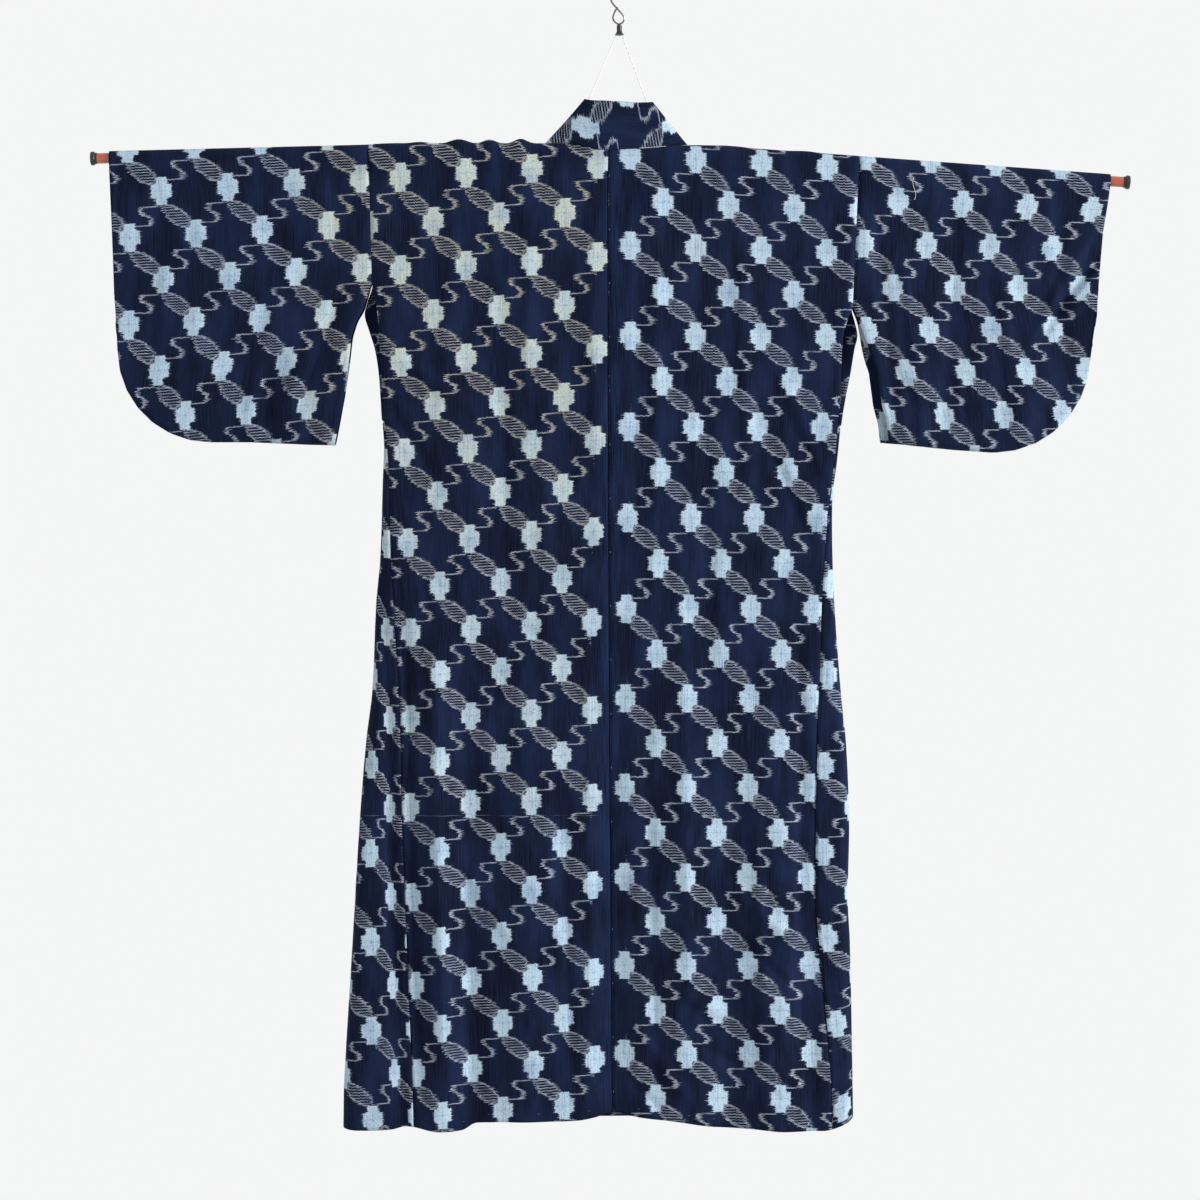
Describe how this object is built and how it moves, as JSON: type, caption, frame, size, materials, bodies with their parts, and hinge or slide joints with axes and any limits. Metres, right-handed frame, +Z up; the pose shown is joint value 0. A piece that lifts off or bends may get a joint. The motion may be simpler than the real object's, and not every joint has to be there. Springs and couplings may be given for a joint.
{
  "type": "kimono robe on a hanging rod",
  "caption": "Wide-sleeved cotton kimono robe, T-shaped, hanging flat and seen from its back, on a thin telescopic rod with a string and a wire hook.",
  "frame": {"origin": "inner top of the wire hook, where the nail that carries everything touches it", "axes": "+Z up; +X along the rod, towards the wearer's right sleeve; the back of the robe faces -Y and its front faces +Y"},
  "size_m": [1.2985, 0.0602, 1.4329],
  "materials": {
    "cotton": "indigo-dyed plain-weave cotton with a pale woven kasuri pattern of small flowers and leaves, matte",
    "lacquer": "glossy red-brown lacquer on a thin metal tube",
    "cap_plastic": "black, satin",
    "wire": "darkened bent wire",
    "string": "thin white twisted string"
  },
  "bodies": {
    "root": {"body_left": "cotton", "body_right": "cotton", "front_left": "cotton", "front_right": "cotton", "okumi_left": "cotton", "okumi_right": "cotton", "sleeve_left": "cotton", "sleeve_right": "cotton", "collar": "cotton", "rod_middle": "lacquer", "rod_arm_left": "lacquer", "rod_arm_right": "lacquer", "cap_left": "cap_plastic", "cap_right": "cap_plastic", "hook": "wire", "crimp": "cap_plastic", "string_left": "string", "string_right": "string"}
  },
  "joints": []
}
